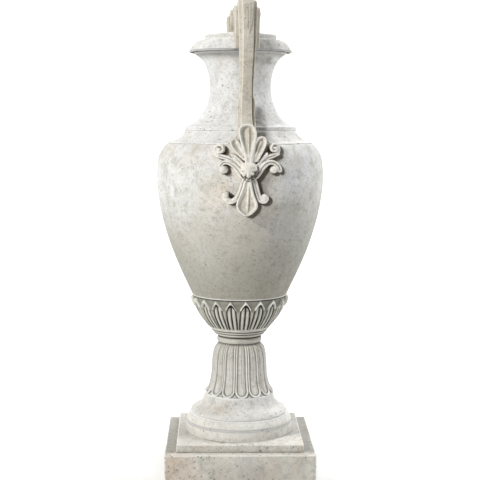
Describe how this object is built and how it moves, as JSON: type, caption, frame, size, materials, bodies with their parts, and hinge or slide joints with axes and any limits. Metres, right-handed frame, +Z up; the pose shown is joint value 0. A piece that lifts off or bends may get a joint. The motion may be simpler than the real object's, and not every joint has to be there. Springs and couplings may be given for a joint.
{
  "type": "amphora",
  "caption": "Two-handled stone amphora on a square stepped plinth: egg-shaped body, waisted neck, strap handles rolled over above the rim, palmettes at their feet, leaf cup and ribbed stem.",
  "frame": {"origin": "centre of the plinth's underside, on the ground", "axes": "+Z up along the vessel's axis, front handle towards -Y (turned 4 degrees about Z against the plinth), plinth sides along X and Y"},
  "size_m": [0.342, 0.3694, 0.965],
  "materials": {
    "stone_plinth": "weathered cast stone, pitted",
    "stone_foot": "weathered cast stone, fine pits",
    "stone_carved": "carved cast stone with a dark wash in the hollows",
    "stone_vessel": "weathered cast stone, cream, scattered pits",
    "stone_handles": "carved cast stone, warm, rubbed",
    "zinc_steel": "zinc plated",
    "dowel_steel": "stainless, drawn"
  },
  "bodies": {
    "root": {"plinth_block": "stone_plinth", "plinth_step": "stone_plinth", "foot_disc": "stone_foot", "foot_bell": "stone_foot", "leaf_stem": "stone_carved", "knop_torus": "stone_carved", "knop_fillet": "stone_carved", "leaf_cup": "stone_carved", "body_bowl": "stone_vessel", "body_drum": "stone_vessel", "body_top": "stone_vessel", "shoulder_ring": "stone_vessel", "neck": "stone_vessel", "rim_collar": "stone_vessel", "mouth_ring": "stone_vessel", "handle_front": "stone_handles", "handle_rear": "stone_handles", "rim_bracket_front": "stone_handles", "rim_bracket_rear": "stone_handles", "palmette_front": "stone_handles", "palmette_rear": "stone_handles", "tie_rod": "zinc_steel", "rod_nuts": "zinc_steel", "rod_washers": "zinc_steel", "centring_sleeves": "zinc_steel", "plinth_dowels": "dowel_steel", "flank_dowels": "dowel_steel", "belly_dowels": "dowel_steel", "shoulder_dowels": "dowel_steel", "neck_dowels": "dowel_steel", "collar_dowels": "dowel_steel", "handle_pins": "dowel_steel", "bracket_pins": "dowel_steel", "palmette_pins": "dowel_steel"}
  },
  "joints": []
}
